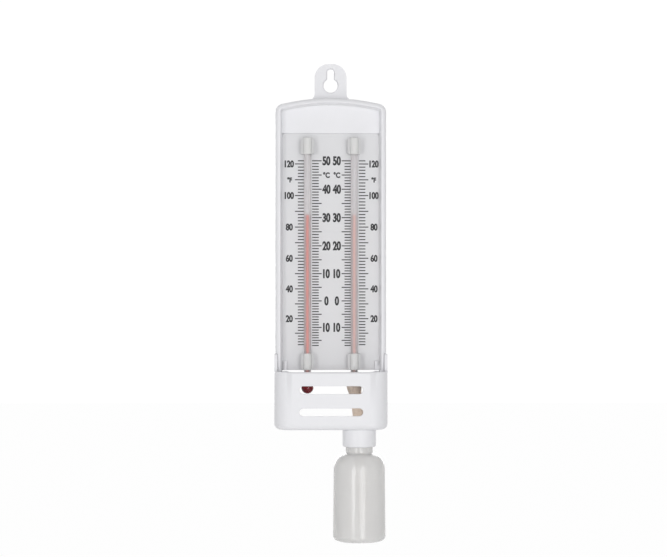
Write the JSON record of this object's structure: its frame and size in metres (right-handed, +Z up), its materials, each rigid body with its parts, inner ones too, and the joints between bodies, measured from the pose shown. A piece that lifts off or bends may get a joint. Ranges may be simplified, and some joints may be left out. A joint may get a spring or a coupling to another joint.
{
  "type": "wet and dry bulb hygrometer",
  "caption": "Wall-hung wet and dry bulb hygrometer: white arched case, two spirit thermometers on a printed scale, slotted bulb guard and a screw-on water bottle fed by a wick.",
  "frame": {"origin": "centre of the keyhole's round hole, on the wall plane", "axes": "+Z up, +X to the reader's right, front of the instrument towards -Y, wall plane at Y = 0"},
  "size_m": [0.0732, 0.0348, 0.3096],
  "materials": {
    "case": "moulded white ABS, satin",
    "plate": "printed PVC sheet",
    "steel": "zinc plated",
    "glass": "clear drawn glass",
    "enamel": "white opal glass",
    "spirit": "dyed spirit in a bulb",
    "column": "dyed spirit in a bore",
    "sleeve": "soft translucent vinyl",
    "clip": "natural polypropylene",
    "cotton": "damp knitted cotton",
    "thread": "cotton thread",
    "seal": "polythene foam disc",
    "bottle": "translucent natural polythene"
  },
  "bodies": {
    "case": {"back_case": "case", "bulb_guard": "case", "guard_screws": "steel", "scale_plate": "plate", "dry_glass": "glass", "wet_glass": "glass", "dry_enamel": "enamel", "wet_enamel": "enamel", "dry_spirit": "spirit", "wet_spirit": "spirit", "dry_column": "column", "wet_column": "column", "dry_top_sleeve": "sleeve", "wet_top_sleeve": "sleeve", "dry_bottom_sleeve": "sleeve", "wet_bottom_sleeve": "sleeve", "dry_top_clip": "clip", "wet_top_clip": "clip", "dry_bottom_clip": "clip", "wet_bottom_clip": "clip", "wick_sock": "cotton", "wick_tie": "thread", "wick_tail": "cotton", "bottle_collar": "case"},
    "dry_level": {"dry_meniscus": "column"},
    "wet_level": {"wet_meniscus": "column"},
    "seal": {"neck_seal": "seal"},
    "bottle": {"bottle": "bottle"}
  },
  "joints": [
    {"name": "dry_reading", "type": "slide", "parent": "case", "child": "dry_level", "axis": [0, 0, 1], "range_m": [-0.085, 0.0355], "deforming": ["dry_column"]},
    {"name": "wet_reading", "type": "slide", "parent": "case", "child": "wet_level", "axis": [0, 0, 1], "range_m": [-0.085, 0.0355], "deforming": ["wet_column"]},
    {"name": "bottle_drop", "type": "slide", "parent": "case", "child": "seal", "axis": [0, 0, -1], "range_m": [0, 0.0061]},
    {"name": "bottle_turn", "type": "hinge", "parent": "seal", "child": "bottle", "pos_m": [0.0183, -0.0178, -0.23], "axis": [0, 0, -1], "range_deg": [0, 720]}
  ],
  "couplings": [
    {"joint": "bottle_drop", "follows": "bottle_turn", "m_per_rad": 0.00047746}
  ]
}
